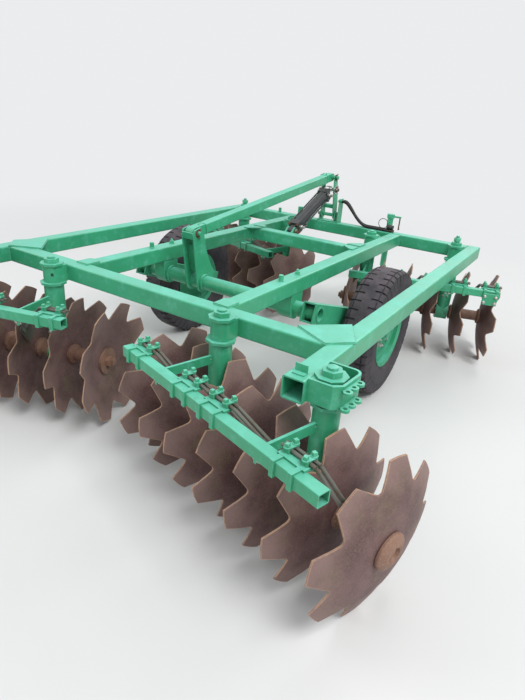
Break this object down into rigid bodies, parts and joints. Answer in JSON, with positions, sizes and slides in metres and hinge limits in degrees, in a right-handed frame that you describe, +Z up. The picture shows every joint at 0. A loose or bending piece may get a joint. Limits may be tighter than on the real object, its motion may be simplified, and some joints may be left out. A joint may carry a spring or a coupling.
{
  "type": "trailed disc harrow",
  "caption": "Trailed tandem disc harrow: tube frame, angled gangs of notched discs with scrapers, wheeled lift axle, rocker linkage, drawbar and jack.",
  "frame": {"origin": "on the floor, in the middle of the machine's length and width", "axes": "+X the machine's right-hand side, +Y the direction of travel towards the towing eye, +Z up"},
  "size_m": [3.069, 4.6702, 1.2311],
  "materials": {
    "green_paint": "sun-faded mint green enamel over steel, brushed on, dull, with dust and small rust spots",
    "disc": "purple-brown rusted spring steel, worn pale along the cutting edges",
    "spool": "orange-brown rusted cast iron",
    "tyre": "weathered black rubber, dusty",
    "hose": "black rubber hydraulic hose",
    "coupling": "blackened steel coupling",
    "cylinder_paint": "dark grey enamel",
    "chrome_rod": "hard chromed rod",
    "bare_steel": "bare steel tube with light rust"
  },
  "bodies": {
    "root": {"rear_beam": "green_paint", "side_beam_right": "green_paint", "side_beam_left": "green_paint", "inner_beam_right": "green_paint", "inner_beam_left": "green_paint", "cross_beam": "green_paint", "front_beam": "green_paint", "joint_plates": "green_paint", "axle_bearings": "green_paint", "pivot_brackets": "green_paint", "pivot_caps": "green_paint", "rear_posts": "green_paint", "front_posts": "green_paint", "rear_scraper_beams": "green_paint", "front_scraper_beams": "green_paint", "rear_scrapers": "green_paint", "front_scrapers": "green_paint", "rear_scraper_rods": "bare_steel", "front_scraper_rods": "bare_steel", "cylinder_bracket": "green_paint", "rocker_bracket": "green_paint", "hinge_lugs": "green_paint", "hose_front": "hose", "hose_rear": "hose", "couplings": "coupling"},
    "axle": {"axle_tube": "green_paint", "lift_lever": "green_paint", "wheel_arms": "green_paint"},
    "wheel_right": {"tyre_right": "tyre", "rim_right": "green_paint"},
    "wheel_left": {"tyre_left": "tyre", "rim_left": "green_paint"},
    "rocker": {"rocker": "green_paint"},
    "link": {"link_bar": "green_paint"},
    "cylinder": {"cylinder_barrel": "cylinder_paint"},
    "piston": {"cylinder_rod": "chrome_rod"},
    "gang_rear_right": {"discs_rear_right": "disc", "spools_rear_right": "spool"},
    "gang_rear_left": {"discs_rear_left": "disc", "spools_rear_left": "spool"},
    "gang_front_right": {"discs_front_right": "disc", "spools_front_right": "spool"},
    "gang_front_left": {"discs_front_left": "disc", "spools_front_left": "spool"},
    "drawbar": {"drawbar_right": "green_paint", "drawbar_left": "green_paint", "drawbar_head": "green_paint", "jack_tube": "green_paint"},
    "jack": {"jack_leg": "bare_steel"}
  },
  "joints": [
    {"name": "axle_lift", "type": "hinge", "parent": "root", "child": "axle", "pos_m": [0, -0.98738, 0.659], "axis": [-1, 0, 0], "range_deg": [-12, 28]},
    {"name": "wheel_right_spin", "type": "hinge", "parent": "axle", "child": "wheel_right", "pos_m": [0.79, -0.36537, 0.41], "axis": [1, 0, 0], "continuous": true},
    {"name": "wheel_left_spin", "type": "hinge", "parent": "axle", "child": "wheel_left", "pos_m": [-0.79, -0.36537, 0.41], "axis": [1, 0, 0], "continuous": true},
    {"name": "gang_rear_right_spin", "type": "hinge", "parent": "root", "child": "gang_rear_right", "pos_m": [0.56094, -1.75938, 0.33], "axis": [0.9588, -0.284, 0], "continuous": true},
    {"name": "gang_rear_left_spin", "type": "hinge", "parent": "root", "child": "gang_rear_left", "pos_m": [-0.56094, -1.75938, 0.33], "axis": [-0.9588, -0.284, 0], "continuous": true},
    {"name": "gang_front_right_spin", "type": "hinge", "parent": "root", "child": "gang_front_right", "pos_m": [0.35894, 0.43062, 0.33], "axis": [0.9588, 0.284, 0], "continuous": true},
    {"name": "gang_front_left_spin", "type": "hinge", "parent": "root", "child": "gang_front_left", "pos_m": [-0.35894, 0.43062, 0.33], "axis": [-0.9588, 0.284, 0], "continuous": true},
    {"name": "rocker_swing", "type": "hinge", "parent": "root", "child": "rocker", "pos_m": [-0.16, 0.71662, 0.89], "axis": [-1, 0, 0], "range_deg": [-12.5, 28.5]},
    {"name": "link_swing", "type": "hinge", "parent": "rocker", "child": "link", "pos_m": [-0.16, 0.6505, 1.20105], "axis": [-1, 0, 0], "range_deg": [-28.5, 12.5]},
    {"name": "cylinder_tilt", "type": "hinge", "parent": "root", "child": "cylinder", "pos_m": [-0.16, 0.08662, 0.835], "axis": [1, 0, 0], "range_deg": [-4, 2]},
    {"name": "piston_slide", "type": "slide", "parent": "cylinder", "child": "piston", "axis": [0, 0.908, 0.4189], "range_m": [-0.045, 0.102]},
    {"name": "drawbar_swing", "type": "hinge", "parent": "root", "child": "drawbar", "pos_m": [0, 0.82362, 0.759], "axis": [1, 0, 0], "range_deg": [-12, 25]},
    {"name": "jack_slide", "type": "slide", "parent": "drawbar", "child": "jack", "axis": [0, 0, 1], "range_m": [-0.1, 0.2]}
  ],
  "couplings": [
    {"joint": "rocker_swing", "follows": "axle_lift", "ratio": 1},
    {"joint": "link_swing", "follows": "axle_lift", "ratio": -1},
    {"joint": "cylinder_tilt", "follows": "axle_lift", "ratio": -0.1098},
    {"joint": "piston_slide", "follows": "axle_lift", "m_per_rad": 0.2041}
  ]
}
